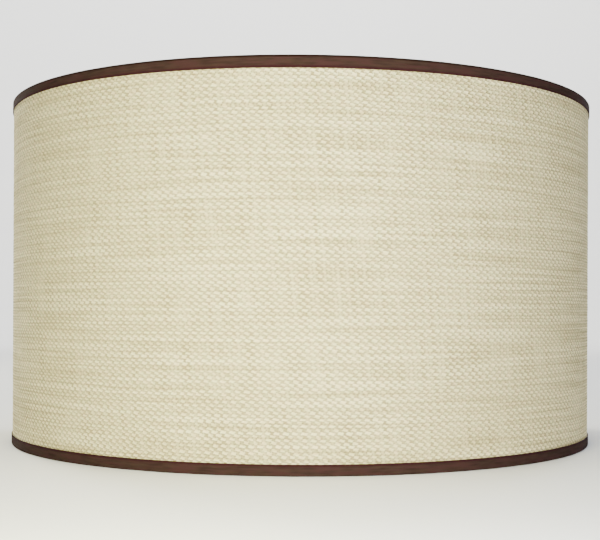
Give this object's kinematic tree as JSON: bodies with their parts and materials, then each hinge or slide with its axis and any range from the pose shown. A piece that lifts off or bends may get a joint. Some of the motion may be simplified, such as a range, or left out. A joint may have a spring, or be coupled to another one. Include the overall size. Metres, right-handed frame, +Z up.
{
  "type": "drum lamp shade",
  "caption": "Straight drum lamp shade with a cream woven cover, dark bound rims, a white lining, a wire frame and a ring fitter with a loose reducer.",
  "frame": {"origin": "centre of the bottom rim, on the surface that the shade stands on", "axes": "+Z up along the drum's axis, -Y towards the front, +Y towards the lapped seam at the back"},
  "size_m": [0.3514, 0.3538, 0.2],
  "materials": {
    "cover": "coarse natural plain weave with slubs, cream",
    "binding": "fine smooth dark brown bias tape",
    "lining": "satin white lampshade vinyl",
    "wire": "white enamelled steel",
    "reducer": "moulded white plastic",
    "adhesive": "double-sided adhesive tape",
    "label": "blank white paper label"
  },
  "bodies": {
    "shade": {"cover_fabric": "cover", "lining_panel": "lining", "seam_tape": "adhesive", "rating_label": "label", "top_binding": "binding", "bottom_binding": "binding", "top_ring": "wire", "bottom_ring": "wire", "spider_arm_1": "wire", "spider_arm_2": "wire", "spider_arm_3": "wire", "fitter_ring": "wire"},
    "reducer": {"reducer_ring": "reducer"}
  },
  "joints": [
    {"name": "reducer_lift", "type": "slide", "parent": "shade", "child": "reducer", "axis": [0, 0, 1], "range_m": [0, 0.19]}
  ]
}
